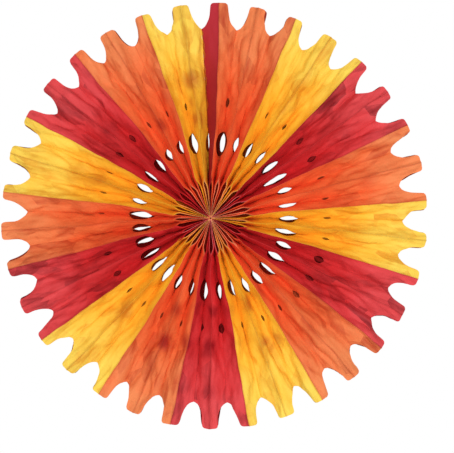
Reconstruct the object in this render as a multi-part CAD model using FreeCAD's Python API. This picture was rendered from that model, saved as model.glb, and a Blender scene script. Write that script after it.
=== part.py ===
import FreeCAD, Part
import math
import os

# Open paper fan medallion: two layers of tissue pleats glued into a flat honeycomb disc.
# The disc stands in the XZ plane, its front faces -Y, +Z is up, the origin is at its centre.
# All sizes are in millimetres; angles are in degrees, counted from +X towards +Z.

# Named driving dimensions of the disc
TIP_DIAMETER = 635.0
VALLEY_RADIUS = 280.0
BORE_RADIUS = 5.5
SEAM_ANGLE = 94.0

# Named driving dimensions of one pleat
LEAF_THICKNESS = 0.4
RIDGE_HEIGHT_HUB = 30.0
RIDGE_HEIGHT_RIM = 9.0
GLUE_BAND_RIDGE = 2.0
GLUE_BAND_MIDDLE = 1.5
TIP_HALF_WIDTH = 12.4

# Named driving dimensions of the die-cut openings
EYE_RADIUS = 110.5
EYE_HALF_LENGTH = 11.5
EYE_HALF_WIDTH = 3.6
SLIT_RADIUS = 168.5
SLIT_HALF_LENGTH = 7.6
SLIT_HALF_WIDTH = 3.4
HUB_STEM_HEIGHT = 9.0
HUB_STEM_RADIUS = 38.0
HUB_SHOULDER_RADIUS = 54.0

# Named driving dimensions of the fastenings
THREAD_RING_RADIUS = 10.0
THREAD_RADIUS = 0.45
THREAD_CLEARANCE = 0.25
SEAM_GAP = 0.3
SEAM_STRIP_INNER_RADIUS = 60.0
SEAM_STRIP_OUTER_RADIUS = 270.0
SEAM_STRIP_EYE_MARGIN = 1.0

# Colours of the pleats, counter-clockwise from the seam: each colour runs over two pleats
PLEAT_COUNT = 34
FIRST_PLEAT = ["yellow"]
COLOUR_CYCLE = ["orange", "orange", "red", "red", "yellow", "yellow"]

TIP_RADIUS = TIP_DIAMETER / 2.0
HALF_PITCH = math.pi / PLEAT_COUNT
SLOPE = math.tan(HALF_PITCH)
END_STATION = TIP_RADIUS / math.cos(HALF_PITCH)
REACH = 2.0 * (RIDGE_HEIGHT_HUB + GLUE_BAND_RIDGE)


def pleat_point(along, across, front):
    # Radial, sideways and front distances of a pleat that lies along +X
    return FreeCAD.Vector(along, -front, across)


def ridge_height(along):
    # The pleats are tall at the hub and nearly flat at the rim
    share = max(0.0, 1.0 - (along / END_STATION) ** 2)
    return RIDGE_HEIGHT_RIM + (RIDGE_HEIGHT_HUB - RIDGE_HEIGHT_RIM) * share ** 0.75


def section_points(along):
    # Outline of one leaf: glued to its neighbours along the middle and along both long edges
    wide = along * SLOPE
    thick = LEAF_THICKNESS
    high = ridge_height(along)
    top = high + GLUE_BAND_RIDGE
    mid = GLUE_BAND_MIDDLE
    outline = [
        (wide - thick, top), (wide, top), (wide, high), (thick, mid),
        (thick, -mid), (wide, -high), (wide, -top), (wide - thick, -top),
        (wide - thick, -high), (0.0, -mid), (0.0, mid), (wide - thick, high),
    ]
    return [pleat_point(along, u, f) for u, f in outline]


def polygon_face(points):
    return Part.Face(Part.makePolygon(points + [points[0]]))


def side_faces(a, b, c, d):
    # One flat facet where the four corners lie in a plane, two where they do not
    normal = (b - a).cross(c - a)
    if abs(normal.dot(d - a)) < 1e-6 * max(normal.Length, 1e-9):
        return [polygon_face([a, b, c, d])]
    ridge_at_b = abs(b.y) > abs(a.y)
    if ridge_at_b:
        return [polygon_face([a, b, c]), polygon_face([a, c, d])]
    return [polygon_face([a, b, d]), polygon_face([b, c, d])]


def leaf_body():
    # One opened leaf from the hub bore to just past the rim, before any die cutting
    stations = [BORE_RADIUS, 0.74 * END_STATION, END_STATION]
    rings = [section_points(s) for s in stations]
    faces = [polygon_face(rings[0]), polygon_face(rings[-1])]
    for inner, outer in zip(rings[:-1], rings[1:]):
        for i in range(len(inner)):
            j = (i + 1) % len(inner)
            faces.extend(side_faces(inner[i], inner[j], outer[j], outer[i]))
    solid = Part.Solid(Part.makeShell(faces))
    if solid.Volume < 0:
        solid.reverse()
    return solid


def front_prism(outline, low, high):
    # Prism with an outline seen from the front, between two front distances
    base = polygon_face([pleat_point(x, u, low) for x, u in outline])
    return base.extrude(FreeCAD.Vector(0, low - high, 0))


def side_prism(outline, half_width):
    # Prism with an outline seen from the side, as wide as the pleat
    base = polygon_face([pleat_point(x, -half_width, f) for x, f in outline])
    return base.extrude(FreeCAD.Vector(0, 0, 2.0 * half_width))


def eye_outline(centre, half_length, half_width):
    # Long four-sided eye on the valley line
    return [
        (centre - half_length, 0.0), (centre, half_width),
        (centre + half_length, 0.0), (centre, -half_width),
    ]


def rim_notch():
    # Scalloped notch between two tips; its corners follow the tips' own direction
    depth = TIP_RADIUS - VALLEY_RADIUS
    gap = TIP_RADIUS * math.sin(HALF_PITCH) - TIP_HALF_WIDTH
    shape = [(0.12, 0.42), (0.45, 0.86)]
    half = [(VALLEY_RADIUS + a * depth, b * gap) for a, b in shape]
    along = (math.cos(HALF_PITCH), math.sin(HALF_PITCH))
    for out, side in [(TIP_RADIUS, TIP_HALF_WIDTH), (TIP_RADIUS, -TIP_HALF_WIDTH)]:
        half.append((out * along[0] + side * along[1], out * along[1] - side * along[0]))
    half.append((END_STATION + REACH, half[-1][1]))
    mirrored = [(x, -u) for x, u in reversed(half)]
    return front_prism([(VALLEY_RADIUS, 0.0)] + half + mirrored, -REACH, REACH)


def hub_cut():
    # Near the hub the front edge drops to a low stem; the back edge runs on to the bore
    outline = [
        (0.0, HUB_STEM_HEIGHT), (HUB_STEM_RADIUS, HUB_STEM_HEIGHT),
        (HUB_SHOULDER_RADIUS, REACH), (0.0, REACH),
    ]
    return side_prism(outline, REACH)


def thread_tunnel():
    # Square passage for the binding thread, through the middle of both leaves
    half = THREAD_RADIUS + THREAD_CLEARANCE
    near = THREAD_RING_RADIUS * math.cos(HALF_PITCH) - half
    far = THREAD_RING_RADIUS + half
    outline = [(near, -half), (far, -half), (far, half), (near, half)]
    return side_prism(outline, REACH)


def die_cut_leaf():
    # The finished leaf on the counter-clockwise side of its valley
    mid = GLUE_BAND_MIDDLE
    cutters = [
        rim_notch(), hub_cut(), thread_tunnel(),
        front_prism(eye_outline(EYE_RADIUS, EYE_HALF_LENGTH, EYE_HALF_WIDTH), -REACH, REACH),
        front_prism(eye_outline(SLIT_RADIUS, SLIT_HALF_LENGTH, SLIT_HALF_WIDTH), mid, REACH),
    ]
    solid = leaf_body()
    for cutter in cutters:
        solid = solid.cut(cutter)
    return solid.removeSplitter()


def thread_ring():
    # Closed ring with a square section, straight over every two pleats
    rings = []
    for number in range(PLEAT_COUNT // 2):
        angle = math.radians(SEAM_ANGLE) + (4 * number + 1) * HALF_PITCH
        corners = []
        for out, front in [(-1, -1), (1, -1), (1, 1), (-1, 1)]:
            radius = THREAD_RING_RADIUS + out * THREAD_RADIUS
            x, z = radius * math.cos(angle), radius * math.sin(angle)
            corners.append(FreeCAD.Vector(x, -front * THREAD_RADIUS, z))
        rings.append(corners)
    faces = []
    for a, b in zip(rings, rings[1:] + rings[:1]):
        for i in range(4):
            faces.extend(side_faces(a[i], a[(i + 1) % 4], b[(i + 1) % 4], b[i]))
    ring = Part.Solid(Part.makeShell(faces))
    if ring.Volume < 0:
        ring.reverse()
    return ring


def turned(shape, degrees):
    # Copy of a pleat turned in the plane of the disc, counter-clockwise from the front
    copy = shape.copy()
    copy.rotate(FreeCAD.Vector(0, 0, 0), FreeCAD.Vector(0, 1, 0), -degrees)
    return copy


def save(name, shape):
    shape.exportStep("parts/" + name + ".step")
    print(name, len(shape.Solids), round(shape.Volume, 1), shape.isValid())


os.makedirs("parts", exist_ok=True)
leaf = die_cut_leaf()
mirror_leaf = leaf.mirror(FreeCAD.Vector(0, 0, 0), FreeCAD.Vector(0, 0, 1))
pleat = Part.makeCompound([leaf, mirror_leaf])

# Thirty-three pleats of two leaves each, one colour per pleat, around from the seam
colours = FIRST_PLEAT + COLOUR_CYCLE * PLEAT_COUNT
for number in range(1, PLEAT_COUNT):
    name = "pleat_%02d_%s" % (number, colours[number - 1])
    save(name, turned(pleat, SEAM_ANGLE + number * 360.0 / PLEAT_COUNT))

# The first and the last leaf of the folded strip meet in the seam valley
far = END_STATION + REACH
wide_slab = side_prism([(0.0, -REACH), (far, -REACH), (far, REACH), (0.0, REACH)], SEAM_GAP / 2.0)
save("end_card_red", turned(mirror_leaf.cut(wide_slab), SEAM_ANGLE))
save("end_leaf_yellow", turned(leaf.cut(wide_slab), SEAM_ANGLE))

# Strip of adhesive that closes the disc between the two end leaves
mid = GLUE_BAND_MIDDLE
strips = []
beside_eye = EYE_HALF_LENGTH + SEAM_STRIP_EYE_MARGIN
for start, end in [(SEAM_STRIP_INNER_RADIUS, EYE_RADIUS - beside_eye),
                   (EYE_RADIUS + beside_eye, SEAM_STRIP_OUTER_RADIUS)]:
    outline = [(start, -mid), (end, -mid), (end, mid), (start, mid)]
    strips.append(side_prism(outline, SEAM_GAP / 2.0))
save("seam_adhesive_strip", turned(Part.makeCompound(strips), SEAM_ANGLE))

# Thread that ties all leaves together around the hub bore
save("binding_thread", thread_ring())
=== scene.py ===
# %% [markdown]
# # A paper fan medallion
# A party fan starts life as a flat pad of die-cut tissue leaves. Each leaf is glued to one
# neighbour along its two long edges and to the other along its middle line. Opened through a full
# circle, the pad becomes a disc of cells: glued edges form the ridges, and glued middle lines form
# the valleys. This lesson dresses the CAD fan with real tissue: thin, wrinkled leaves, die-cut eyes
# and a soft light.
#
# The CAD model is loaded first as a fixed frame. Every new piece is built in the same place and in
# metres.

# %% Load the frame
import bpy, math
import numpy as np
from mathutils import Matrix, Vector
from types import SimpleNamespace


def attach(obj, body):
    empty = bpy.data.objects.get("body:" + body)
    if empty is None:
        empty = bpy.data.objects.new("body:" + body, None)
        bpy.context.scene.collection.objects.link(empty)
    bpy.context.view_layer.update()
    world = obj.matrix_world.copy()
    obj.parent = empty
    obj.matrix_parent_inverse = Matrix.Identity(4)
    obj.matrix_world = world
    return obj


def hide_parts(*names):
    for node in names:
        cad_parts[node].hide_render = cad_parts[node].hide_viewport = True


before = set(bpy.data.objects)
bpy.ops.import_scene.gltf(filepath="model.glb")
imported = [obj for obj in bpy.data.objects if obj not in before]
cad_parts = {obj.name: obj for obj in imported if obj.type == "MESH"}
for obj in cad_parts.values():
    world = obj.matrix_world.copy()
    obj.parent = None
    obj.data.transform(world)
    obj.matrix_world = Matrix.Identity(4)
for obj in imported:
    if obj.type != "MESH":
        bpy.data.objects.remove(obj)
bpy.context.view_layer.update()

# %% [markdown]
# The sizes that the leaves share. A leaf is a strip of tissue that stands on edge: it runs from the
# hub bore to the rim, and half of its width reaches from the middle line to a ridge. The disc lies
# in the XZ plane with its front towards -Y, and angles are counted from +X towards +Z, as seen from
# the front.

# %% Sizes of the fan
MM = 0.001
TIP_RADIUS = 317.5 * MM
NOTCH_RADIUS = 280.0 * MM
BORE_RADIUS = 1.2 * MM
PLEATS = 34
HALF_PITCH = math.pi / PLEATS
SEAM_ANGLE = math.radians(94.0)
PANEL = 28.5 * MM          # middle line to ridge, across the tissue
RIDGE_TAB = 2.0 * MM       # glued strip along each long edge
MIDDLE_BAND = 0.6 * MM     # half of the glued strip along the middle
RIDGE_HEIGHT_HUB = 30.0 * MM
RIDGE_HEIGHT_RIM = 9.0 * MM
HUB_STEM = 9.0 * MM        # height of the front edge at the hub
HUB_SHOULDER = 15.0 * MM   # the length over which that edge rises to the full width
HUB_FOOT = 43.0 * MM       # where the rise begins, on the two end leaves
TISSUE = 0.22 * MM         # thickness
SLIP = (-5.7 * MM, 0.0, -3.4 * MM)    # how far the front layer has slipped at the hub
BULGE_FROM, BULGE_TO = 95 * MM, 150 * MM
BULGE_HUB, BULGE_RIM = 0.20, 0.04     # arch of a panel, as a share of half the pitch
# Each point of a front panel carries its distance to the front edge. A back panel carries the mark
# instead, and whatever lies above the limit belongs to a back panel.
BACK_MARK, BACK_LIMIT = 50.0 * MM, 45.0 * MM
print("pitch at the rim, mm:", round(2 * HALF_PITCH * TIP_RADIUS / MM, 1))

# %% [markdown]
# Shader and geometry maths read best as ordinary Python. `Wire` wraps one socket and overloads the
# operators, also in their reflected forms, so that `1 - mask` adds a Math node. `Board` adds every
# other kind of node through one method: its type, its settings, then the values or links of its
# sockets.

# %% Expressions that add nodes
class Wire:
    def __init__(self, board, socket):
        self.board, self.socket = board, socket

    def __add__(self, other):
        return self.board.math("ADD", self, other)

    def __radd__(self, other):
        return self.board.math("ADD", other, self)

    def __sub__(self, other):
        return self.board.math("SUBTRACT", self, other)

    def __rsub__(self, other):
        return self.board.math("SUBTRACT", other, self)

    def __mul__(self, other):
        return self.board.math("MULTIPLY", self, other)

    def __rmul__(self, other):
        return self.board.math("MULTIPLY", other, self)

    def __truediv__(self, other):
        return self.board.math("DIVIDE", self, other)

    def __rtruediv__(self, other):
        return self.board.math("DIVIDE", other, self)

    def __pow__(self, other):
        return self.board.math("POWER", self, other)


class Board:
    def __init__(self, tree):
        self.tree = tree

    def add(self, kind, settings=None, sockets=None, out=0):
        node = self.tree.nodes.new(kind)
        for name, value in (settings or {}).items():
            if name == "stops":
                ramp = node.color_ramp.elements
                while len(ramp) < len(value):
                    ramp.new(0.5)
                for stop, (place, colour) in zip(ramp, value):
                    stop.position, stop.color = place, colour
            else:
                setattr(node, name, value)
        for key, value in (sockets or {}).items():
            if isinstance(value, Wire):
                self.tree.links.new(value.socket, node.inputs[key])
            else:
                node.inputs[key].default_value = value
        return Wire(self, node.outputs[out])

    def math(self, operation, *values):
        return self.add("ShaderNodeMath", {"operation": operation}, dict(enumerate(values)))

    def vector(self, operation, *values):
        return self.add("ShaderNodeVectorMath", {"operation": operation}, dict(enumerate(values)))

    def scaled(self, vector, factor):
        scale = {"operation": "SCALE"}
        return self.add("ShaderNodeVectorMath", scale, {0: vector, "Scale": factor})

    def parts(self, vector):
        node = self.add("ShaderNodeSeparateXYZ", sockets={0: vector}).socket.node
        return [Wire(self, node.outputs[i]) for i in range(3)]

    def join(self, x, y, z):
        return self.add("ShaderNodeCombineXYZ", sockets={0: x, 1: y, 2: z})

    def ramp(self, value, low, high, to_low=0.0, to_high=1.0, kind="SMOOTHSTEP"):
        return self.add("ShaderNodeMapRange", {"interpolation_type": kind}, {
            "Value": value, "From Min": low, "From Max": high, "To Min": to_low, "To Max": to_high})


print("node helpers ready")

# %% [markdown]
# The tissue. Dyed tissue is matt and thin enough for light to come through, so a diffuse surface is
# mixed with a little translucency. Its colour isn't even, and first come the helpers for that: soft
# clouds, soft dark blotches of painted shade, and a tint that darkens a colour as far as a mask
# says. Everything reads Object coordinates or numbers that the leaves carry on their vertices, so
# the pattern stays on the leaves.

# %% Clouds, painted shade blotches and tints
# Angle in degrees, radius and size in mm, strength
SHADE_BLOTCHES = [(98.5, 205, 15, 0.7), (100, 145, 13, 0.7), (104, 172, 12, 0.5), (121, 157, 14, 0.6),
         (113, 190, 14, 0.4), (248, 200, 17, 1.0), (249, 150, 13, 0.7), (256, 190, 14, 0.8),
         (260, 137, 11, 0.7), (269, 140, 10, 1.0), (268, 190, 11, 1.0), (267, 203, 12, 0.9),
         (268, 262, 13, 0.6), (278, 141, 12, 0.4), (279, 194, 11, 0.4), (291, 139, 13, 0.7),
         (293, 204, 15, 0.8), (303, 134, 14, 0.4), (52, 197, 13, 0.3), (226, 194, 15, 0.35),
         (140, 200, 16, 0.4), (322, 190, 15, 0.35), (160, 176, 15, 0.3), (12, 236, 17, 0.3),
         (205, 232, 16, 0.35)]
BLOTCH_FORWARD = -0.018      # the painted shade blotches lie in the front layer


def painted_shade_blotches(board, place):
    # One soft spot of painted shade for each blotch
    total = 0.0
    for angle, away, size, strength in SHADE_BLOTCHES:
        turn = math.radians(angle)
        middle = (away * MM * math.cos(turn), BLOTCH_FORWARD, away * MM * math.sin(turn))
        distance = {"operation": "DISTANCE"}
        gap = board.add("ShaderNodeVectorMath", distance, {0: place, 1: middle}, out=1)
        total = board.ramp(gap, 0.2 * size * MM, 1.4 * size * MM, strength, 0.0) + total
    return total


def clouds(board, place, scale, detail=2.0):
    # Soft clouds between -1 and 1
    noise = {"Vector": place, "Scale": scale, "Detail": detail}
    return (board.add("ShaderNodeTexNoise", sockets=noise) - 0.5) * 2.0


def leaf_value(board, name):
    # A number that the leaves carry on their vertices
    return board.add("ShaderNodeAttribute", {"attribute_name": name}, out=2)


def tinted(board, colour, amount, tint):
    # The colour multiplied by a tint, as far as the amount says
    settings = {"data_type": "RGBA", "blend_type": "MULTIPLY", "clamp_factor": True}
    return board.add("ShaderNodeMix", settings, {0: amount, 6: colour, 7: tint}, out=2)


def surface_numbers(board):
    # Where a point lies: on the disc, across its panel, and how far from the front edge
    place = board.add("ShaderNodeTexCoord", out=3)
    x, _, z = board.parts(place)
    radius = board.math("SQRT", x * x + z * z)
    share, rim, tone = (leaf_value(board, name) for name in ("share", "edge", "tone"))
    noise = {"Vector": place, "Scale": 30.0, "Detail": 3.0}
    stir = board.add("ShaderNodeTexNoise", sockets=noise, out=1)
    stir = board.vector("SUBTRACT", stir, (0.5, 0.5, 0.5))
    bent = board.vector("ADD", place, board.scaled(stir, 0.03))
    return SimpleNamespace(place=place, radius=radius, share=share, rim=rim, tone=tone,
                           width=radius * HALF_PITCH, stir=stir, bent=bent)


# How many blotches of painted shade there are
print("dents:", len(SHADE_BLOTCHES))

# %% [markdown]
# The paper is paler at the rim and deeper towards the hub, and that is painted light: light comes
# through the thin tissue where the leaves lie nearly flat, and bounces between the leaves at the
# hub.
# Clouds and streaks along the leaf vary the colour, the flat facets of crumpled paper get painted
# shade, and each leaf has a tone of its own. Over that go painted shade and highlights: dark lines
# in the valleys and on the ridges, the shaded inside of the cells, the depth between the leaves at
# the hub, and a painted highlight on the cut edges there.

# %% Colour, painted shade and highlights of the tissue
def paper_colour(board, on, pale, mid, deep, shade, crumple, contrast):
    # Streaks and facets read the leaf's own coordinates, stretched along the radius. The tone tells
    # the leaves apart, so that no two have the same pattern.
    streaks = board.join(on.share * 3.0, on.radius * 16.0, on.tone * 60.0)
    streaks = clouds(board, streaks, 1.6, 3.0)
    # Painted light: paler at the rim, where light comes through the nearly flat tissue, and deeper
    # at the hub, where light bounces between the leaves
    outward = board.ramp(on.radius, 0.06, 0.335) + clouds(board, on.bent, 24.0) * 0.30 * crumple
    outward = outward + streaks * 0.25 * crumple
    stops = [(0.0, deep), (0.5, mid), (1.0, pale)]
    colour = board.add("ShaderNodeValToRGB", {"stops": stops}, {0: outward})
    along = board.join(on.share * on.width, on.radius * 0.38, on.tone * 9.0)
    along = board.vector("ADD", along, board.scaled(on.stir, 0.004))
    # The facets are painted shade: each flat facet of the crumpled paper is darker or lighter as if
    # it met the light at its own slant
    facet = board.add("ShaderNodeTexVoronoi", sockets={"Vector": along, "Scale": 62.0}, out=1)
    facet = (board.parts(facet)[0] - 0.5) * 0.6
    patches = clouds(board, on.bent, 38.0, 2.0) * 0.4 + facet
    patches = patches * board.ramp(on.radius, 0.10, 0.22)
    level = (patches * contrast + streaks * 0.40) * crumple + on.tone
    # Where the level is low the colour is darkened towards the shade tint: painted shade for the
    # facets, mixed with the paper's own mottling
    colour = board.scaled(colour, 1.0 + level * 0.25)
    return tinted(board, colour, level * -1.8, shade)


def painted_fold_shade(board, on):
    # Painted shade in the valleys and along the ridges, strongest in the back valley behind a slit
    behind = board.ramp(on.rim, BACK_LIMIT - MM, BACK_LIMIT + MM, 0.0, 0.9)
    behind = behind * board.ramp(on.radius, 0.154, 0.160)
    behind = behind * board.ramp(on.radius, 0.177, 0.183, 1.0, 0.0)
    valley = board.math("MAXIMUM", board.ramp(on.radius, 0.10, 0.14, 0.25, 0.10), behind)
    valley = board.ramp(on.share * on.width, 0.2 * MM, 1.1 * MM, 1.0, 0.0) * valley
    ridge = board.ramp((1.0 - on.share) * on.width, 0.3 * MM, 1.2 * MM, 1.0, 0.0)
    return valley + ridge * board.ramp(on.radius, 0.09, 0.15, 0.10, 0.22)


def painted_cell_shade(board, on):
    # Painted shade on the faces that look into the cells, seen through the eyes
    return leaf_value(board, "inner") * board.ramp(on.radius, 0.070, 0.085)


def painted_hub_shade(board, on):
    # Painted shade, darker the deeper a point lies between the leaves at the hub
    low = on.rim / board.ramp(on.radius, 0.040, 0.075, 4 * MM, 22 * MM)
    return board.ramp(low, 0.15, 1.1) * board.ramp(on.radius, 0.048, 0.070, 1.0, 0.0)


def painted_edge_highlight(board, on, lips):
    # A painted highlight on the cut front edge at the hub, on the leaves with a light tone
    lip = board.ramp(on.rim, 0.4 * MM, 1.8 * MM, 0.90, 0.0)
    lip = lip * board.ramp(on.radius, 0.050, 0.062, 1.0, 0.0)
    return lip * board.ramp(on.tone, 0.05 - lips, 0.08 - lips)


print("colour and marks ready")

# %% [markdown]
# One function puts these together, and fine creases come as a bump. The three tissues differ only
# in their colours, in how strongly they are mottled, and in how many leaves get the painted
# highlight on their cut edges at the hub.

# %% Tissue materials
BLOTCH_SHADE_TINT = (0.52, 0.17, 0.32, 1.0)
FOLD_SHADE_TINT = (0.45, 0.22, 0.22, 1.0)
CELL_SHADE_TINT = (0.46, 0.15, 0.15, 1.0)
HUB_SHADE_TINT = (0.85, 0.28, 0.30, 1.0)
THROUGH = 0.07             # share of the translucent shader


def tissue(name, pale, mid, deep, glow, edge, shade, blotch_shade=1.0, crumple=1.0, contrast=0.5, lips=0.0):
    material = bpy.data.materials.new(name)
    material.use_nodes = True
    board = Board(material.node_tree)
    board.tree.nodes.clear()
    on = surface_numbers(board)
    colour = paper_colour(board, on, pale, mid, deep, shade, crumple, contrast)
    # Painted shade: soft dark blotches in the front layer
    blotch_shade_mask = painted_shade_blotches(board, board.vector("ADD", on.place, board.scaled(on.stir, 0.025)))
    colour = tinted(board, colour, blotch_shade_mask * blotch_shade, BLOTCH_SHADE_TINT)
    # Painted shade along the folds
    colour = tinted(board, colour, painted_fold_shade(board, on), FOLD_SHADE_TINT)
    # Painted shade on the insides of the cells
    colour = tinted(board, colour, painted_cell_shade(board, on), CELL_SHADE_TINT)
    # Painted shade in the depth between the leaves at the hub
    colour = tinted(board, colour, painted_hub_shade(board, on), HUB_SHADE_TINT)
    # Painted highlight: the edge colour on the front edges at the hub
    lip = {0: painted_edge_highlight(board, on, lips), 6: colour, 7: edge}
    colour = board.add("ShaderNodeMix", {"data_type": "RGBA"}, lip, out=2)

    noise = {"Vector": on.bent, "Scale": 80.0, "Detail": 2.0}
    creases = {"Strength": 0.8 * crumple, "Distance": 0.0022,
               "Height": board.add("ShaderNodeTexNoise", sockets=noise)}
    matt = board.add("ShaderNodeBsdfPrincipled", sockets={
        "Base Color": colour, "Roughness": 0.7, "Specular IOR Level": 0.3,
        "Normal": board.add("ShaderNodeBump", sockets=creases)})
    through = board.add("ShaderNodeBsdfTranslucent", sockets={"Color": glow})
    both = board.add("ShaderNodeMixShader", sockets={0: THROUGH, 1: matt, 2: through})
    out = board.tree.nodes.new("ShaderNodeOutputMaterial")
    board.tree.links.new(both.socket, out.inputs[0])
    return material


# edge is the colour of the painted highlight on the cut edges at the hub
COLOURS = {
    "yellow": dict(pale=(0.97, 0.67, 0.090, 1), mid=(0.98, 0.50, 0.03, 1),
                   deep=(1.0, 0.47, 0.02, 1), glow=(1.0, 0.50, 0.02, 1),
                   edge=(1.0, 0.38, 0.17, 1), shade=(0.87, 0.52, 0.25, 1),
                   contrast=0.75, lips=0.08),
    "orange": dict(pale=(0.85, 0.24, 0.080, 1), mid=(0.84, 0.147, 0.037, 1),
                   deep=(0.97, 0.13, 0.033, 1), glow=(1.0, 0.16, 0.03, 1),
                   edge=(1.0, 0.34, 0.17, 1), shade=(0.68, 0.34, 0.30, 1),
                   contrast=0.70, lips=0.06),
    "red": dict(pale=(0.73, 0.064, 0.070, 1), mid=(0.65, 0.027, 0.030, 1),
                deep=(0.72, 0.020, 0.024, 1), glow=(0.85, 0.025, 0.03, 1),
                edge=(0.90, 0.20, 0.20, 1), shade=(0.44, 0.26, 0.32, 1),
                contrast=0.88, lips=0.02),
}
TISSUES = {colour: tissue(colour + "_tissue", **look) for colour, look in COLOURS.items()}
print("tissue colours:", ", ".join(TISSUES))

# %% [markdown]
# The flat leaf. A real leaf is cut while the pad is flat, so the mesh starts flat as well: X is the
# distance from the centre, Y the distance from the middle line, positive towards the front ridge.
# Openings are where the edge of a panel draws back from the middle line, so each panel is a grid
# between two curves and its cut edges are smooth at any size. Extra columns sit where an edge turns
# quickly.

# %% The cut edges of a leaf
# Depth into the rim notch, and the share of the panel that is cut away there
SCALLOP = [(0.0, 0.0), (0.03, 0.10), (0.08, 0.21), (0.17, 0.32), (0.27, 0.40), (0.36, 0.46),
           (0.5, 0.515), (0.66, 0.55), (0.8, 0.57), (0.9, 0.59), (0.95, 0.62), (0.985, 0.67),
           (1.0, 0.745)]
RIM_COLUMNS = [0, .01, .03, .08, .12, .17, .22, .27, .36, .43,
               .5, .58, .66, .73, .8, .85, .9, .95, .985, 1.0]
COLUMN_STEP = 3.0 * MM
EYE_COLUMNS = 11
EYE_POINT = 0.95           # 1 gives the eye sharp ends, 0.5 round ones


def scallop_edge(r):
    # The rim notch: share of the panel that is cut away at each radius
    depth = (r - NOTCH_RADIUS) / (TIP_RADIUS - NOTCH_RADIUS)
    return np.interp(depth, [d for d, _ in SCALLOP], [s for _, s in SCALLOP], left=0.0)


def bulge_share(r):
    # How far a panel arches out of its straight line, as a share of half the pitch
    t = np.clip((r - BULGE_FROM) / (BULGE_TO - BULGE_FROM), 0.0, 1.0)
    return BULGE_HUB - (BULGE_HUB - BULGE_RIM) * t * t * (3.0 - 2.0 * t)


def eye_edge(r, centre, half_length, half_width):
    # A punched eye: widest at its centre, closed to a point at both ends. The width is the one that
    # shows once the leaf is open, so the arch of the panel is taken out again.
    inside = np.clip(1.0 - ((r - centre) / half_length) ** 2, 0.0, 1.0)
    seen = half_width / (centre * HALF_PITCH) * inside ** EYE_POINT
    arch = 4.0 * bulge_share(r)
    return (np.sqrt((1.0 - arch) ** 2 + 4.0 * arch * seen) - (1.0 - arch)) / (2.0 * arch)


def hub_edge(r, foot):
    # Near the hub the front edge drops to a low stem; its shoulder then rises to the full width
    full = PANEL + RIDGE_TAB
    rise = np.clip((r - foot) / HUB_SHOULDER, 0.0, 1.0)
    return (HUB_STEM + (full - HUB_STEM) * rise * rise * (3.0 - 2.0 * rise)) / full


def columns(eyes):
    # Radii of the mesh columns: even steps, closer at the eyes and at the rim
    even = np.arange(BORE_RADIUS, NOTCH_RADIUS, COLUMN_STEP)
    chosen = list(NOTCH_RADIUS + np.array(RIM_COLUMNS) * (TIP_RADIUS - NOTCH_RADIUS))
    for centre, half_length in eyes:
        turn = np.linspace(0.0, math.pi, EYE_COLUMNS)
        chosen += list(centre - half_length * np.cos(turn))
    # An even step that falls too near to one of the chosen columns is left out
    keep = [r for r in even if min(abs(r - c) for c in chosen) > 0.9 * MM]
    radii = np.array(sorted(keep + chosen))
    return radii[np.concatenate([[True], np.diff(radii) > 0.05 * MM])]


print("scallop points:", len(SCALLOP))

# %% [markdown]
# The grid of one leaf: the front panel's rows run from the cut edge to the ridge and the glue tab,
# the back panel's rows mirror them with their own openings. Where neither panel is cut, both share
# the vertices on the middle line, so the leaf is one sheet.

# %% Build a flat leaf
FRONT_ROWS = 14
BACK_ROWS = 5


def panel_rows(cut, rows, share):
    # Distances from the middle line, one row after another, for every column
    lines = [(cut + (1.0 - cut) * j / rows) * PANEL * share for j in range(rows + 1)]
    return np.array(lines + [(PANEL + RIDGE_TAB) * share])


def flat_leaf(front_eyes, back_eyes, foot=HUB_FOOT):
    r = columns([(centre, half_length) for centre, half_length, _ in front_eyes + back_eyes])
    cuts = []
    for eyes in (front_eyes, back_eyes):
        cut = scallop_edge(r)
        for eye in eyes:
            cut = np.maximum(cut, eye_edge(r, *eye))
        cuts.append(cut)
    front = panel_rows(cuts[0], FRONT_ROWS, hub_edge(r, foot))
    back = -panel_rows(cuts[1], BACK_ROWS, 1.0 + 0.0 * r)
    n = len(r)
    # Z carries the distance to the front edge
    verts = [(x, y, z) for line in front for x, y, z in zip(r, line, front[-1] - line)]
    start = len(verts)
    verts += [(x, y, BACK_MARK) for line in back for x, y in zip(r, line)]
    # The back panel's first row is the front panel's wherever the leaf isn't cut
    index = {start + i: i for i in range(n) if cuts[0][i] < 1e-6 and cuts[1][i] < 1e-6}
    faces = []
    for first, rows, turn in [(0, len(front), False), (start, len(back), True)]:
        for j in range(rows - 1):
            for i in range(n - 1):
                a = first + j * n + i
                quad = [index.get(v, v) for v in (a, a + 1, a + n + 1, a + n)]
                faces.append(quad[::-1] if turn else quad)
    return verts, faces


test_leaf = flat_leaf([(107 * MM, 20 * MM, 5 * MM)], [(110.5 * MM, 11.5 * MM, 4 * MM)])
print("flat leaf: %d corners, %d faces" % (len(test_leaf[0]), len(test_leaf[1])))

# %% [markdown]
# Opening the leaf. One Geometry Nodes tree folds every flat leaf into its place in the disc, the
# way the pad is opened by hand: the middle line goes to a valley, the two long edges go to the
# ridges half a pitch away, and the panels between them are stretched straight. Noise in the tree
# then gives real paper's faults. The shift of a ridge or a valley depends only on its own place, so
# leaves that share a ridge still meet there. Near the hub the whole front layer has slipped a
# little to the left and down, as it has in the picture.

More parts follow.
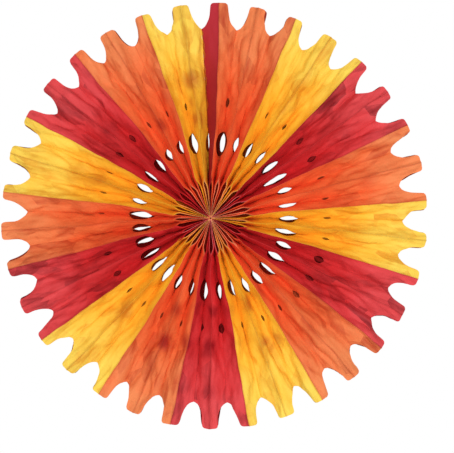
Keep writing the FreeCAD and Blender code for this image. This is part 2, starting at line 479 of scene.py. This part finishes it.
# %% Inputs, heights and noise of the tree
def open_leaf_tree(name="open_the_leaf"):
    tree = bpy.data.node_groups.new(name, "GeometryNodeTree")
    face = tree.interface
    face.new_socket("Leaf", in_out="INPUT", socket_type="NodeSocketGeometry")
    for label, default in [("Valley Angle", 0.0), ("Side", 1.0), ("Hub Height", RIDGE_HEIGHT_HUB),
                           ("Rim Height", RIDGE_HEIGHT_RIM), ("Wrinkles", 1.0), ("Seed", 7.0),
                           ("Slip", 1.0), ("Tone", 0.0), ("Raise", 0.0)]:
        socket = face.new_socket(label, in_out="INPUT", socket_type="NodeSocketFloat")
        socket.default_value = default
    face.new_socket("Paper", in_out="INPUT", socket_type="NodeSocketMaterial")
    face.new_socket("Opened", in_out="OUTPUT", socket_type="NodeSocketGeometry")
    return tree, Board(tree)


def tree_inputs(board):
    node = board.tree.nodes.new("NodeGroupInput")
    return {s.name: Wire(board, s) for s in node.outputs if s.name}


def ridge_height(board, radius, given):
    # Tall at the hub, nearly flat at the rim
    share = 1.0 - board.math("POWER", radius / (TIP_RADIUS * 1.004), 2.0)
    share = board.math("MAXIMUM", share, 0.0)
    return given["Rim Height"] + (given["Hub Height"] - given["Rim Height"]) * share ** 0.75


def noise_at(board, place, scale, seed, detail, out):
    return board.add("ShaderNodeTexNoise", {"noise_dimensions": "4D"},
                     {"Vector": place, "W": seed, "Scale": scale, "Detail": detail}, out=out)


def shaken(board, place, scale, seed, detail=1.0):
    # A vector between -1 and 1 that wanders smoothly over the disc
    noise = noise_at(board, place, scale, seed, detail, 1)
    return board.scaled(board.vector("SUBTRACT", noise, (0.5, 0.5, 0.5)), 2.0)


def wander(board, place, scale, seed, detail=1.0):
    # The same as one number between -1 and 1
    return (noise_at(board, place, scale, seed, detail, 0) - 0.5) * 2.0


print("tree helpers ready")

# %% [markdown]
# The shape of an opened leaf comes in steps. Its ridge and its valley are placed on the disc, and
# crowd together near the hub as real leaves do. Both lines wander a little. The panel between them
# is lifted along its own normal by an arch, broad buckles and sharp creases, all of which fade out
# at the glued lines.

# %% Folds and wrinkles
BUNCHING = 0.18                  # how unevenly the leaves crowd at the hub
FOLD_WANDER, FOLD_FRAY = 3.6, 2.4    # how far a fold strays in the open and near the hub, in mm
BUCKLE, CREASE, FINE = 1.8, 5.2, 2.2     # strength of each kind of wrinkle
WRINKLE_ROOM = 3.2 * MM          # where the panels are wide; a share of their width elsewhere


def bunched(board, angle, seed, packed):
    # Near the hub the leaves crowd together in some places and stand open in others
    dial = board.join(board.math("COSINE", angle), seed, board.math("SINE", angle))
    return angle + wander(board, dial, 3.6, 5.0, 2.0) * packed * BUNCHING


def on_disc(board, radius, angle, forward):
    return board.join(radius * board.math("COSINE", angle), forward * -1.0,
                      radius * board.math("SINE", angle))


def wandering(board, line, key, radius, broad_seed, fine_seed):
    # A fold that isn't quite straight, straighter where the leaves are packed
    loose = board.ramp(radius, 12 * MM, 130 * MM) * FOLD_WANDER * MM
    fray = board.ramp(radius, 60 * MM, 140 * MM, FOLD_FRAY * MM, 0.0)
    fray = board.ramp(radius, 12 * MM, 50 * MM) * fray
    broad = board.scaled(shaken(board, key, 17.0, broad_seed, 2.0), loose)
    fine = board.scaled(shaken(board, key, 42.0, fine_seed), fray)
    return board.vector("ADD", line, board.vector("ADD", broad, fine))


def wrinkle_lift(board, share, radius, high, strip, seed, wrinkles):
    # Strip tells the leaves and their layers apart, so that each has its own noise
    half_pitch_width = radius * HALF_PITCH
    arch = share * (1.0 - share) * 4.0
    bulge = board.ramp(radius, BULGE_FROM, BULGE_TO, BULGE_HUB, BULGE_RIM)
    bulge = arch * half_pitch_width * bulge
    leaf_place = board.join(share * half_pitch_width, radius * 0.36, strip)
    stir = board.scaled(shaken(board, leaf_place, 40.0, seed + 5.0, 1.0), 0.006)
    bent = board.vector("ADD", leaf_place, stir)
    buckle = wander(board, bent, 22.0, seed + 11.0, 1.5)
    crease = board.math("ABSOLUTE", wander(board, bent, 36.0, seed + 21.0, 1.0))
    small = wander(board, bent, 80.0, seed + 31.0, 2.0) * 0.7
    room = board.math("MINIMUM", half_pitch_width * 0.16, WRINKLE_ROOM)
    rough = (buckle * BUCKLE + crease * CREASE + small * FINE - 1.2) * room
    lift = bulge + rough * arch ** 0.5 * wrinkles
    return board.math("MAXIMUM", lift, share * high * -0.6)   # never through the other layer


def moved_by(board, place, direction, amount):
    return board.vector("ADD", place, board.scaled(direction, amount))


print("folds and wrinkles ready")

# %% [markdown]
# The tree itself. After the fold come the last touches: neighbouring leaves are kept apart by their
# own thickness, the glue tabs stand out from the ridges, the free edges at the hub curl aside, and
# the front layer slips. The numbers that the material reads are stored while the leaf is still
# flat, because a Position node gives moved places after Set Position.

# %% The tree that opens a leaf
CURL = 1.3 * MM                  # of the free edges at the hub
SLIP_FULL, SLIP_NONE = 30 * MM, 180 * MM     # radii between which the slip fades out


def build_open_leaf():
    tree, board = open_leaf_tree()
    given = tree_inputs(board)
    radius, across, rim = board.parts(board.add("GeometryNodeInputPosition"))
    front = board.math("SIGN", across)
    out = board.math("ABSOLUTE", across)
    share = board.ramp(out, MIDDLE_BAND, PANEL, kind="LINEAR")
    tab = board.math("MAXIMUM", out - PANEL, 0.0)
    low = board.math("MINIMUM", out, MIDDLE_BAND)
    high = ridge_height(board, radius, given)
    side, seed = given["Side"], given["Seed"]
    layer = front * 0.7

    # The ridge and the valley at this radius, each shifted by noise at a place of its own
    half_pitch_width = radius * HALF_PITCH
    packed = board.ramp(radius, 15 * MM, 110 * MM, 1.0, 0.0)
    ridge_angle = bunched(board, given["Valley Angle"] + side * HALF_PITCH, seed, packed)
    valley_angle = bunched(board, given["Valley Angle"] + 0.0, seed, packed)
    ridge_key = on_disc(board, radius, ridge_angle, layer)
    valley_key = on_disc(board, radius, valley_angle, 0.0)
    ridge = on_disc(board, radius, ridge_angle, front * high)
    valley = on_disc(board, radius, valley_angle, front * low)
    ridge = wandering(board, ridge, ridge_key, radius, seed, seed + 8.0)
    valley = wandering(board, valley, valley_key, radius, seed + 3.0, seed + 9.0)
    placed = moved_by(board, valley, board.vector("SUBTRACT", ridge, valley), share)

    # The panel's own normal, towards the viewer on the front layer
    middle_angle = valley_angle + side * HALF_PITCH * 0.5
    rise = high - MIDDLE_BAND
    slant = board.math("SQRT", rise * rise + half_pitch_width * half_pitch_width)
    sideways = side * rise / slant * -1.0
    forward = front * (half_pitch_width / slant)
    normal = board.join(sideways * board.math("SINE", middle_angle) * -1.0, forward * -1.0,
                        sideways * board.math("COSINE", middle_angle))
    strip = valley_angle * 2.0 + layer + side * 0.4
    lift = wrinkle_lift(board, share, radius, high, strip, seed, given["Wrinkles"])
    placed = moved_by(board, placed, normal, lift + given["Raise"])

    # Thickness keeps two glued leaves apart: outward from the valley, inward from the ridge
    tangent = board.join(board.math("SINE", middle_angle) * -1.0, 0.0,
                         board.math("COSINE", middle_angle))
    overlap = board.ramp(out, 0.0, 0.3 * MM, 0.16 * MM, 0.0)   # closes the gap on the middle line
    apart = side * ((1.0 - share * 2.0) * (TISSUE * 0.48) - overlap)
    placed = moved_by(board, placed, tangent, apart)
    placed = board.vector("ADD", placed, board.join(0.0, front * tab * -1.0, 0.0))

    # The free front edges at the hub curl aside
    curl = board.ramp(rim, 0.0, 2.4 * MM, 1.0, 0.0)
    curl = curl * board.math("MINIMUM", half_pitch_width * 0.30, CURL)
    curl = curl * board.ramp(radius, 52 * MM, 64 * MM, 1.0, 0.0)
    placed = moved_by(board, placed, tangent, curl * side)

    # The front layer's slip near the hub
    stem = board.ramp(radius, 45 * MM, 80 * MM, 1.0, 0.0)
    in_front = board.ramp(across, stem * -22.0 * MM, 9.0 * MM - stem * 11.0 * MM)
    near_hub = board.ramp(radius, SLIP_FULL, SLIP_NONE, 1.0, 0.0)
    placed = moved_by(board, placed, board.join(*SLIP), in_front * near_hub * given["Slip"])

    flat = given["Leaf"]
    for label, value in [("share", share), ("edge", rim), ("tone", given["Tone"])]:
        stored = {"Geometry": flat, "Name": label, "Value": value}
        flat = board.add("GeometryNodeStoreNamedAttribute", sockets=stored)
    moved = board.add("GeometryNodeSetPosition", sockets={"Geometry": flat, "Position": placed})
    real = board.add("GeometryNodeRealizeInstances", sockets={0: moved})
    paper = {"Geometry": real, "Material": given["Paper"]}
    painted = board.add("GeometryNodeSetMaterial", sockets=paper)
    end = tree.nodes.new("NodeGroupOutput")
    tree.links.new(painted.socket, end.inputs[0])
    return tree


OPEN_LEAF = build_open_leaf()
SOCKET = {s.name: s.identifier for s in OPEN_LEAF.interface.items_tree if s.in_out == "INPUT"}
print("tree nodes:", len(OPEN_LEAF.nodes), "inputs:", ", ".join(SOCKET))

# %% [markdown]
# One leaf at a time: the flat sheet gets the tree as a modifier and a Solidify that gives the
# tissue its thickness. The evaluated result is kept as a plain mesh, and the leaves of one node are
# joined. The faces that look into the cells get a number of their own, with which the material
# paints shade on them, darker than the faces outside.

# %% From flat leaf to opened leaf
def opened_leaf(flat, paper, angle, side, wrinkles=1.0, tone=0.0, lifted=0.0):
    mesh = bpy.data.meshes.new("flat_leaf")
    mesh.from_pydata(flat[0], [], flat[1])
    worker = bpy.data.objects.new("leaf_worker", mesh)
    bpy.context.scene.collection.objects.link(worker)
    nodes = worker.modifiers.new("open", "NODES")
    nodes.node_group = OPEN_LEAF
    for name, value in [("Valley Angle", angle), ("Side", float(side)), ("Wrinkles", wrinkles),
                        ("Tone", tone), ("Raise", lifted), ("Paper", paper)]:
        nodes[SOCKET[name]] = value
    solid = worker.modifiers.new("thickness", "SOLIDIFY")
    solid.thickness, solid.offset = TISSUE, 0.0
    evaluated = worker.evaluated_get(bpy.context.evaluated_depsgraph_get())
    result = bpy.data.meshes.new_from_object(evaluated)
    bpy.data.objects.remove(worker)
    bpy.data.meshes.remove(mesh)
    return result


def read(items, name, width=1, kind=float):
    # One value of every vertex or triangle, as an array
    values = np.empty(len(items) * width, dtype=kind)
    items.foreach_get(name, values)
    return values.reshape(-1, width) if width > 1 else values


def signed_volume(mesh):
    corners = read(mesh.vertices, "co", 3)
    mesh.calc_loop_triangles()
    tris = read(mesh.loop_triangles, "vertices", 3, np.int64)
    a, b, c = (corners[tris[:, i]] for i in range(3))
    return float(np.einsum("ij,ij->i", a, np.cross(b, c)).sum() / 6.0)


def looks_inside(normals, share, edge):
    # Front panels look in towards +Y, back panels towards -Y; the folds themselves are left out
    inward = normals[:, 1] * np.where(edge > BACK_LIMIT, -1.0, 1.0) > 0.2
    return np.where(inward & (np.abs(share - 0.495) < 0.485), 1.0, 0.0)


def joined(name, meshes, paper):
    # One plain mesh from several leaves, faces outward, folds kept crisp
    verts, faces = [], []
    values = {label: [] for label in ("share", "edge", "tone", "inner")}
    for mesh in meshes:
        normals = read(mesh.vertices, "normal", 3)
        if signed_volume(mesh) < 0.0:
            mesh.flip_normals()
            normals = -normals
        start = len(verts)
        verts += [v.co.copy() for v in mesh.vertices]
        faces += [[start + i for i in p.vertices] for p in mesh.polygons]
        for label in ("share", "edge", "tone"):
            values[label].append(read(mesh.attributes[label].data, "value"))
        values["inner"].append(looks_inside(normals, values["share"][-1], values["edge"][-1]))
        bpy.data.meshes.remove(mesh)
    whole = bpy.data.meshes.new(name)
    whole.from_pydata(verts, [], faces)
    whole.polygons.foreach_set("use_smooth", [True] * len(faces))
    whole.set_sharp_from_angle(angle=math.radians(38.0))
    whole.materials.append(paper)
    for label, rows in values.items():
        layer = whole.attributes.new(label, "FLOAT", "POINT")
        layer.data.foreach_set("value", np.concatenate(rows))
    piece = bpy.data.objects.new(name, whole)
    bpy.context.scene.collection.objects.link(piece)
    return piece


def settle(piece, node):
    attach(piece, "root")
    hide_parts(node)


print("leaf maker ready")

# %% [markdown]
# The pleats. Each node of the CAD model is the pair of leaves on both sides of one valley. The
# punched eyes don't look equal all round: some pleats are pulled open more than others, so their
# sizes are listed pleat by pleat, counted counter-clockwise from the seam. Light comes through
# where the front and back eyes overlap, and where the front eye is the larger one, it shows the
# dark inside of the cell.

# %% Openings of each pleat
# The part of each eye that light comes through: centre radius, half length and half width in mm
EYES = [(108.5, 12.5, 1.5), (111, 13.7, 5.0), (113, 8.7, 2.7), (112, 7.8, 3.1), (109, 11.5, 4.0),
        (110, 12.4, 3.7), (111, 12.4, 4.2), (112, 10.0, 2.7), (108, 16.5, 4.4), (109, 12.5, 3.1),
        (109, 12.4, 4.0), (110, 13.5, 4.8), (108.5, 13.7, 4.1), (109.5, 13.7, 4.3),
        (112, 10.6, 3.5), (112.5, 9.5, 2.7), (111.5, 12.5, 3.1), (113, 9.5, 2.4),
        (110, 11.2, 3.1), (112, 11.2, 4.0), (111, 10.6, 3.7), (111, 12.5, 4.4), (110.5, 12.5, 4.5),
        (112, 10.0, 3.5), (109.5, 15.0, 3.7), (111, 13.0, 4.7), (111, 12.5, 3.1),
        (111.5, 10.0, 3.1), (105, 18.0, 2.3), (110, 13.0, 3.3), (112, 10.0, 2.9),
        (111.5, 10.6, 3.7), (111, 10.0, 3.5), (109.5, 13.7, 4.4)]
CUT_SHARE = 0.65           # an eye is cut narrower than it gapes in the open pleat
# What the front and the back eye have beyond that: shift, half length and half width in mm
PLAIN_EYE = [(0.0, 1.5, 1.5), (0.0, 1.5, 0.6)]
DARK_EYE = [(-1.5, 5.0, 3.3), (0.0, 0.5, 0.0)]
DARKEST_EYE = [(-1.5, 5.0, 5.4), (0.0, 0.5, 0.0)]
EYE_KINDS = {**dict.fromkeys((8, 9, 10, 11, 14, 15, 16, 17), DARK_EYE), 33: DARKEST_EYE}
# The small slits further out, in the front layer only; sizes run from 0, none, to 1, the largest
SLIT_RADIUS, SLIT_HALF_LENGTH, SLIT_HALF_WIDTH = 168.5 * MM, 8.5 * MM, 3.6 * MM
SLIT_SIZES = {**dict.fromkeys((16, 17, 22, 23), 1.0), **dict.fromkeys((0, 32), 0.0),
              **dict.fromkeys((4, 5, 10, 11, 21, 28, 29, 33), 0.7)}
SMALL_SLIT = 0.3           # on all the other pleats


def openings(number):
    # Front and back openings: centre radius, half length, half width when open
    centre, half_length, half_width = (v * MM for v in EYES[number])
    cut = half_width * CUT_SHARE
    front, back = ([(centre + shift * MM, half_length + longer * MM, cut + wider * MM)]
                   for shift, longer, wider in EYE_KINDS.get(number, PLAIN_EYE))
    slit = SLIT_SIZES.get(number, SMALL_SLIT)
    if slit > 0.0:
        front.append((SLIT_RADIUS, SLIT_HALF_LENGTH * slit ** 0.2, SLIT_HALF_WIDTH * slit))
    return front, back


print("openings of pleat 16:", openings(16))

# %% [markdown]
# Thirty-three pleats follow one another round the disc, and each is one flat leaf opened twice,
# once to each side of its valley. A seeded generator gives every leaf a tone and every pleat a
# shoulder of its own, so the disc looks made by hand and still comes out the same on every run.

# %% Open all the leaves
COLOUR_CYCLE = ["orange", "orange", "red", "red", "yellow", "yellow"]
dice = np.random.default_rng(25)


def shoulder_foot(angle):
    # Where the shoulder of a pleat begins: further out at the top, and never quite the same
    return (44 + 3 * math.sin(angle) + float(np.clip(dice.normal(0.0, 2.5), -4, 5))) * MM


triangles = 0
for number in range(1, PLEATS):
    colour = (["yellow"] + COLOUR_CYCLE * 6)[number - 1]
    angle = SEAM_ANGLE + number * 2 * HALF_PITCH
    flat = flat_leaf(*openings(number), foot=shoulder_foot(angle))
    leaves = [opened_leaf(flat, TISSUES[colour], angle, side, tone=float(dice.normal(0.0, 0.085)))
              for side in (-1, 1)]
    pleat = joined("tissue_pleat_%02d" % number, leaves, TISSUES[colour])
    settle(pleat, "pleat_%02d_%s" % (number, colour))
    triangles += sum(len(p.vertices) - 2 for p in pleat.data.polygons)
print("triangles in the pleats:", triangles)

# %% [markdown]
# The seam. The strip's first leaf is yellow tissue; its last is a smooth red card that stiffens the
# join. The tissue's torn edge laps a few millimetres over the card, so the colour changes along a
# wavy line.

# %% The two end leaves
LAP_ROWS = 4
LAP_RAISE = 0.7 * MM
END_WRINKLES = 0.25        # the card and the lap over it lie smoother than tissue


def flat_lap(first=122 * MM, last=279 * MM):
    # The lapping strip, flat: from the middle line to a wavy edge a few millimetres away
    r = np.arange(first, last, 2.0 * MM)
    wave = 2.1 + 0.8 * np.sin(r / (6.3 * MM)) + 0.6 * np.sin(r / (2.9 * MM) + 1.0)
    taper = np.clip((r - first) / (12 * MM), 0.05, 1.0) * np.clip((last - r) / (4 * MM), 0.3, 1.0)
    edge = MIDDLE_BAND + (PANEL - MIDDLE_BAND) * wave * MM * taper / (r * HALF_PITCH)
    rows = [edge * k / LAP_ROWS for k in range(LAP_ROWS + 1)]
    n = len(r)
    verts = [(x, y, BACK_MARK) for line in rows for x, y in zip(r, line)]
    faces = [(j * n + i, j * n + i + 1, j * n + n + i + 1, j * n + n + i)
             for j in range(LAP_ROWS) for i in range(n - 1)]
    return verts, faces


# The card gets a fifth of the painted shade blotches, and a tenth of the mottling and facet shade
red_card = tissue("red_card", pale=(0.52, 0.022, 0.036, 1), mid=(0.40, 0.012, 0.020, 1),
                  deep=(0.36, 0.010, 0.016, 1), glow=(0.5, 0.01, 0.02, 1),
                  edge=(0.7, 0.08, 0.08, 1), shade=(0.7, 0.5, 0.5, 1), blotch_shade=0.2, crumple=0.1)
seam_flat = flat_leaf(*openings(0))
yellow = TISSUES["yellow"]
lap = opened_leaf(flat_lap(), yellow, SEAM_ANGLE, -1, wrinkles=END_WRINKLES, lifted=LAP_RAISE)
end_leaf = joined("yellow_end_leaf", [opened_leaf(seam_flat, yellow, SEAM_ANGLE, 1), lap], yellow)
settle(end_leaf, "end_leaf_yellow")
card = opened_leaf(seam_flat, red_card, SEAM_ANGLE, -1, wrinkles=END_WRINKLES)
end_card = joined("red_end_card", [card], red_card)
settle(end_card, "end_card_red")
print("end leaves:", end_leaf.name, end_card.name)

# %% [markdown]
# The glue strip keeps the CAD model's shape and only gets its finish. The thread is drawn again as
# a finer ring that follows the slip of the leaves it runs through.

# %% Thread and glue
def plain(name, colour, roughness):
    material = bpy.data.materials.new(name)
    material.use_nodes = True
    shader = material.node_tree.nodes["Principled BSDF"]
    shader.inputs["Base Color"].default_value = colour
    shader.inputs["Roughness"].default_value = roughness
    return material


def thread_ring(radius=10 * MM, tube=0.25 * MM, turns=68, sides=6):
    verts, faces = [], []
    for i in range(turns):
        for j in range(sides):
            a, b = 2 * math.pi * i / turns, 2 * math.pi * j / sides
            away = radius + tube * math.cos(b)
            verts.append((away * math.cos(a) + SLIP[0], tube * math.sin(b),
                          away * math.sin(a) + SLIP[2]))
            k, m = (i + 1) % turns, (j + 1) % sides
            faces.append((i * sides + j, i * sides + m, k * sides + m, k * sides + j))
    mesh = bpy.data.meshes.new("thread")
    mesh.from_pydata(verts, [], faces)
    if signed_volume(mesh) < 0.0:
        mesh.flip_normals()
    mesh.materials.append(plain("white_thread", (0.80, 0.77, 0.72, 1), 0.9))
    ring = bpy.data.objects.new("thread", mesh)
    bpy.context.scene.collection.objects.link(ring)
    return ring


settle(thread_ring(), "binding_thread")
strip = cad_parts["seam_adhesive_strip"].data
strip.materials.clear()
strip.materials.append(plain("clear_adhesive", (0.82, 0.76, 0.62, 1), 0.45))
print("thread and glue finished")

# %% [markdown]
# The studio. The fan hangs in front of nothing but white, so the world is white to the camera only,
# and a pale floor lies well below. Two large soft lamps at the sides, the right one stronger, shade
# the folds; a third one just above the camera's axis reaches into the deep cells round the hub.

# %% Floor, world and lamps
FLOOR_HALF, FLOOR_HEIGHT = 1.3, -0.80
WORLD_LIGHT = 0.45         # on the fan; to the camera the world is 1.0, which is white
# Place, diameter in metres and power in watts
LAMPS = {"right_lamp": ((1.1, -2.2, -0.05), 0.9, 15.5),
         "left_lamp": ((-1.1, -2.2, -0.15), 0.9, 9.5),
         "front_lamp": ((0.0, -2.6, 0.1), 0.7, 19.0)}


def floor_piece():
    mesh = bpy.data.meshes.new("floor")
    verts = [(x * FLOOR_HALF, y * FLOOR_HALF, FLOOR_HEIGHT)
             for x, y in [(-1, -1), (1, -1), (1, 1), (-1, 1)]]
    mesh.from_pydata(verts, [], [(0, 1, 2, 3)])
    floor = bpy.data.objects.new("floor", mesh)
    bpy.context.scene.collection.objects.link(floor)
    mesh.materials.append(plain("pale_floor", (0.80, 0.80, 0.80, 1), 0.8))


def white_world():
    world = bpy.data.worlds.new("white_room")
    bpy.context.scene.world = world
    world.use_nodes = True
    board = Board(world.node_tree)
    board.tree.nodes.clear()
    path = board.add("ShaderNodeLightPath").socket.node
    rays = ("Is Camera Ray", "Is Glossy Ray", "Is Transmission Ray")
    seen = [Wire(board, path.outputs[ray]) for ray in rays]
    shown = board.math("MAXIMUM", board.math("MAXIMUM", seen[0], seen[1]), seen[2])
    light = board.add("ShaderNodeBackground", sockets={
        "Color": (1.0, 1.0, 1.0, 1.0), "Strength": WORLD_LIGHT + shown * (1.0 - WORLD_LIGHT)})
    out = board.tree.nodes.new("ShaderNodeOutputWorld")
    board.tree.links.new(light.socket, out.inputs[0])


def soft_lamp(name, place, size, power):
    lamp = bpy.data.lights.new(name, "AREA")
    lamp.shape, lamp.size, lamp.energy = "DISK", size, power
    thing = bpy.data.objects.new(name, lamp)
    thing.location = place
    aim = -np.array(place) / np.linalg.norm(place)
    thing.rotation_euler = Vector(aim).to_track_quat("-Z", "Y").to_euler()
    bpy.context.scene.collection.objects.link(thing)


floor_piece()
white_world()
for name, values in LAMPS.items():
    soft_lamp(name, *values)
print("studio ready, lamps:", len(LAMPS))

# %% [markdown]
# The camera looks straight at the fan along +Y. In the picture the fan sits left of the centre and
# a little above it, which a small lens shift gives without turning the camera.

# %% Camera
PHOTO_WIDTH = 454
PIXEL = 1.494 * MM         # in the plane of the disc
DISTANCE = 2.3
FAN_TO_MIDDLE = (12.57, -10.6)    # from the fan's centre to the picture's, in pixels
camera_data = bpy.data.cameras.new("camera")
camera_data.lens = camera_data.sensor_width * DISTANCE / (PHOTO_WIDTH * PIXEL)
camera_data.shift_x, camera_data.shift_y = (v / PHOTO_WIDTH for v in FAN_TO_MIDDLE)
camera = bpy.data.objects.new("camera", camera_data)
camera.location = (0.0, -DISTANCE, 0.0)
camera.rotation_euler = (math.radians(90.0), 0.0, 0.0)
bpy.context.scene.collection.objects.link(camera)
bpy.context.scene.camera = camera
bpy.context.scene.view_settings.view_transform = "Standard"
print("lens, mm:", round(camera_data.lens, 1))
